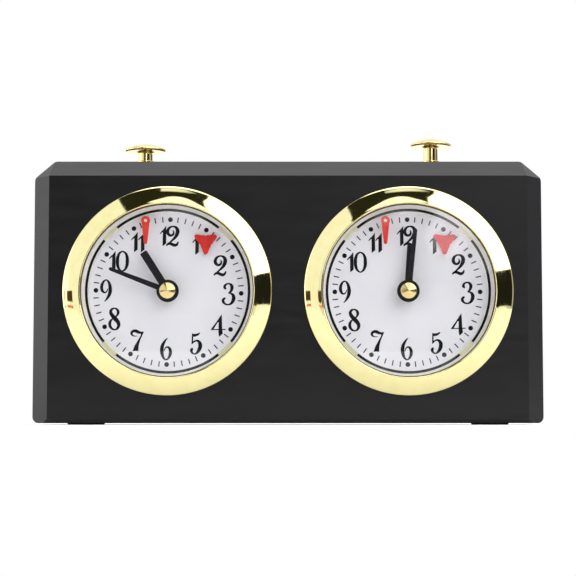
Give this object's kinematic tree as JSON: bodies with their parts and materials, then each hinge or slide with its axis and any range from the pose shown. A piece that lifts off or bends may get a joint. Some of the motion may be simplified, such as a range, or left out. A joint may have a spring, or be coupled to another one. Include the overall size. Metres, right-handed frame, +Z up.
{
  "type": "chess clock",
  "caption": "Mechanical chess clock: two wind-up dials with drop flags and running indicators in one black case, linked by a rocker under push buttons on top.",
  "frame": {"origin": "middle of the bounding box's underside, on the surface the clock stands on", "axes": "+X to the right seen from the front, dials face -Y, +Z up"},
  "size_m": [0.2, 0.0694, 0.1159],
  "materials": {
    "case_plastic": "satin moulded black",
    "cover_plastic": "fine-grained moulded black",
    "screw_steel": "bright plated",
    "foot_rubber": "matt",
    "bezel_gold": "polished gold plate",
    "crystal_clear": "clear polished acrylic",
    "dial_white": "satin white lacquer with black print",
    "ring_white": "smooth white",
    "pin_metal": "pale polished",
    "hand_black": "black lacquer",
    "nut_brass": "turned and polished",
    "flag_red": "red lacquer",
    "rotor_red": "red lacquer",
    "button_gold": "polished gold plate",
    "plate_brass": "rolled sheet",
    "wheel_brass": "cut and polished",
    "arbor_steel": "turned steel",
    "spring_steel": "blued spring steel"
  },
  "bodies": {
    "case": {"case_shell": "case_plastic", "back_cover": "cover_plastic", "back_cover_screws": "screw_steel", "feet": "foot_rubber", "left_bezel": "bezel_gold", "right_bezel": "bezel_gold", "crystals": "crystal_clear", "left_dial": "dial_white", "right_dial": "dial_white", "dial_rings": "ring_white", "flag_pins": "pin_metal", "button_bushes": "button_gold", "front_plates": "plate_brass", "back_plates": "plate_brass", "plate_pillars": "arbor_steel", "movement_screws": "arbor_steel", "mainsprings": "spring_steel", "hairsprings": "spring_steel", "rocker_bracket": "arbor_steel", "rocker_pin": "arbor_steel"},
    "rocker": {"rocker": "arbor_steel", "brake_wires": "arbor_steel"},
    "left_button": {"left_button": "button_gold"},
    "left_minute": {"left_minute_hand": "hand_black", "left_hand_nut": "nut_brass", "left_centre_arbor": "arbor_steel", "left_setting_knob": "button_gold"},
    "left_hour": {"left_hour_hand": "hand_black", "left_hour_wheel": "wheel_brass"},
    "left_motion": {"left_minute_wheel": "wheel_brass"},
    "left_flag": {"left_flag": "flag_red"},
    "left_winding": {"left_winding_key": "button_gold", "left_mainspring_arbor": "arbor_steel"},
    "left_great": {"left_great_wheel": "wheel_brass"},
    "left_centre": {"left_centre_wheel": "wheel_brass"},
    "left_third": {"left_third_wheel": "wheel_brass"},
    "left_fourth": {"left_fourth_wheel": "wheel_brass"},
    "left_escape": {"left_escape_wheel": "wheel_brass", "left_tick_rotor": "rotor_red"},
    "left_pallet": {"left_pallet_lever": "arbor_steel"},
    "left_balance": {"left_balance_wheel": "wheel_brass"},
    "right_button": {"right_button": "button_gold"},
    "right_minute": {"right_minute_hand": "hand_black", "right_hand_nut": "nut_brass", "right_centre_arbor": "arbor_steel", "right_setting_knob": "button_gold"},
    "right_hour": {"right_hour_hand": "hand_black", "right_hour_wheel": "wheel_brass"},
    "right_motion": {"right_minute_wheel": "wheel_brass"},
    "right_flag": {"right_flag": "flag_red"},
    "right_winding": {"right_winding_key": "button_gold", "right_mainspring_arbor": "arbor_steel"},
    "right_great": {"right_great_wheel": "wheel_brass"},
    "right_centre": {"right_centre_wheel": "wheel_brass"},
    "right_third": {"right_third_wheel": "wheel_brass"},
    "right_fourth": {"right_fourth_wheel": "wheel_brass"},
    "right_escape": {"right_escape_wheel": "wheel_brass", "right_tick_rotor": "rotor_red"},
    "right_pallet": {"right_pallet_lever": "arbor_steel"},
    "right_balance": {"right_balance_wheel": "wheel_brass"}
  },
  "joints": [
    {"name": "rocker_tilt", "type": "hinge", "parent": "case", "child": "rocker", "pos_m": [0, -0.00432, 0.09], "axis": [0, 1, 0], "range_deg": [0, 2.07]},
    {"name": "left_button_press", "type": "slide", "parent": "case", "child": "left_button", "axis": [0, 0, 1], "range_m": [0, 0.0021]},
    {"name": "left_minute_turn", "type": "hinge", "parent": "case", "child": "left_minute", "pos_m": [-0.047, -0.02933, 0.0521], "axis": [0, 1, 0], "continuous": true},
    {"name": "left_hour_turn", "type": "hinge", "parent": "case", "child": "left_hour", "pos_m": [-0.047, -0.02732, 0.0521], "axis": [0, 1, 0], "continuous": true},
    {"name": "left_motion_turn", "type": "hinge", "parent": "case", "child": "left_motion", "pos_m": [-0.03851, -0.02133, 0.04361], "axis": [0, 1, 0], "continuous": true},
    {"name": "left_fourth_turn", "type": "hinge", "parent": "case", "child": "left_fourth", "pos_m": [-0.02965, -0.01033, 0.0594], "axis": [0, 1, 0], "continuous": true},
    {"name": "left_great_turn", "type": "hinge", "parent": "case", "child": "left_great", "pos_m": [-0.0575, -0.01132, 0.0381], "axis": [0, 1, 0], "continuous": true},
    {"name": "left_centre_turn", "type": "hinge", "parent": "case", "child": "left_centre", "pos_m": [-0.047, -0.01632, 0.0521], "axis": [0, 1, 0], "continuous": true},
    {"name": "left_third_turn", "type": "hinge", "parent": "case", "child": "left_third", "pos_m": [-0.03199, -0.01333, 0.04601], "axis": [0, 1, 0], "continuous": true},
    {"name": "left_escape_turn", "type": "hinge", "parent": "case", "child": "left_escape", "pos_m": [-0.0324, -0.00732, 0.0717], "axis": [0, 1, 0], "continuous": true},
    {"name": "left_winding_turn", "type": "hinge", "parent": "case", "child": "left_winding", "pos_m": [-0.0575, 0.02467, 0.0381], "axis": [0, 1, 0], "range_deg": [0, 1980]},
    {"name": "left_flag_turn", "type": "hinge", "parent": "case", "child": "left_flag", "pos_m": [-0.0558, -0.02832, 0.07984], "axis": [0, -1, 0], "range_deg": [-10, 76]},
    {"name": "left_pallet_turn", "type": "hinge", "parent": "case", "child": "left_pallet", "pos_m": [-0.0435, -0.00833, 0.0726], "axis": [0, 1, 0], "range_deg": [-5, 5]},
    {"name": "left_balance_turn", "type": "hinge", "parent": "case", "child": "left_balance", "pos_m": [-0.0565, -0.00432, 0.0691], "axis": [0, 1, 0], "range_deg": [-220, 220], "stiffness_Nm_per_rad": 0.00002},
    {"name": "right_button_press", "type": "slide", "parent": "case", "child": "right_button", "axis": [0, 0, 1], "range_m": [-0.0021, 0]},
    {"name": "right_minute_turn", "type": "hinge", "parent": "case", "child": "right_minute", "pos_m": [0.047, -0.02933, 0.0521], "axis": [0, 1, 0], "continuous": true},
    {"name": "right_hour_turn", "type": "hinge", "parent": "case", "child": "right_hour", "pos_m": [0.047, -0.02732, 0.0521], "axis": [0, 1, 0], "continuous": true},
    {"name": "right_motion_turn", "type": "hinge", "parent": "case", "child": "right_motion", "pos_m": [0.05549, -0.02133, 0.04361], "axis": [0, 1, 0], "continuous": true},
    {"name": "right_fourth_turn", "type": "hinge", "parent": "case", "child": "right_fourth", "pos_m": [0.06435, -0.01033, 0.0594], "axis": [0, 1, 0], "continuous": true},
    {"name": "right_great_turn", "type": "hinge", "parent": "case", "child": "right_great", "pos_m": [0.0365, -0.01132, 0.0381], "axis": [0, 1, 0], "continuous": true},
    {"name": "right_centre_turn", "type": "hinge", "parent": "case", "child": "right_centre", "pos_m": [0.047, -0.01632, 0.0521], "axis": [0, 1, 0], "continuous": true},
    {"name": "right_third_turn", "type": "hinge", "parent": "case", "child": "right_third", "pos_m": [0.06201, -0.01333, 0.04601], "axis": [0, 1, 0], "continuous": true},
    {"name": "right_escape_turn", "type": "hinge", "parent": "case", "child": "right_escape", "pos_m": [0.0616, -0.00732, 0.0717], "axis": [0, 1, 0], "continuous": true},
    {"name": "right_winding_turn", "type": "hinge", "parent": "case", "child": "right_winding", "pos_m": [0.0365, 0.02467, 0.0381], "axis": [0, 1, 0], "range_deg": [0, 1980]},
    {"name": "right_flag_turn", "type": "hinge", "parent": "case", "child": "right_flag", "pos_m": [0.0382, -0.02832, 0.07984], "axis": [0, -1, 0], "range_deg": [-10, 76]},
    {"name": "right_pallet_turn", "type": "hinge", "parent": "case", "child": "right_pallet", "pos_m": [0.0505, -0.00833, 0.0726], "axis": [0, 1, 0], "range_deg": [-5, 5]},
    {"name": "right_balance_turn", "type": "hinge", "parent": "case", "child": "right_balance", "pos_m": [0.0375, -0.00432, 0.0691], "axis": [0, 1, 0], "range_deg": [-220, 220], "stiffness_Nm_per_rad": 0.00002}
  ],
  "couplings": [
    {"joint": "left_button_press", "follows": "rocker_tilt", "m_per_rad": 0.058},
    {"joint": "left_hour_turn", "follows": "left_minute_turn", "ratio": 0.083333},
    {"joint": "left_motion_turn", "follows": "left_minute_turn", "ratio": -0.33333},
    {"joint": "left_great_turn", "follows": "left_fourth_turn", "ratio": -0.0027778},
    {"joint": "left_centre_turn", "follows": "left_fourth_turn", "ratio": 0.016667},
    {"joint": "left_third_turn", "follows": "left_fourth_turn", "ratio": -0.13333},
    {"joint": "left_escape_turn", "follows": "left_fourth_turn", "ratio": -8},
    {"joint": "right_button_press", "follows": "rocker_tilt", "m_per_rad": -0.058},
    {"joint": "right_hour_turn", "follows": "right_minute_turn", "ratio": 0.083333},
    {"joint": "right_motion_turn", "follows": "right_minute_turn", "ratio": -0.33333},
    {"joint": "right_great_turn", "follows": "right_fourth_turn", "ratio": -0.0027778},
    {"joint": "right_centre_turn", "follows": "right_fourth_turn", "ratio": 0.016667},
    {"joint": "right_third_turn", "follows": "right_fourth_turn", "ratio": -0.13333},
    {"joint": "right_escape_turn", "follows": "right_fourth_turn", "ratio": -8}
  ]
}
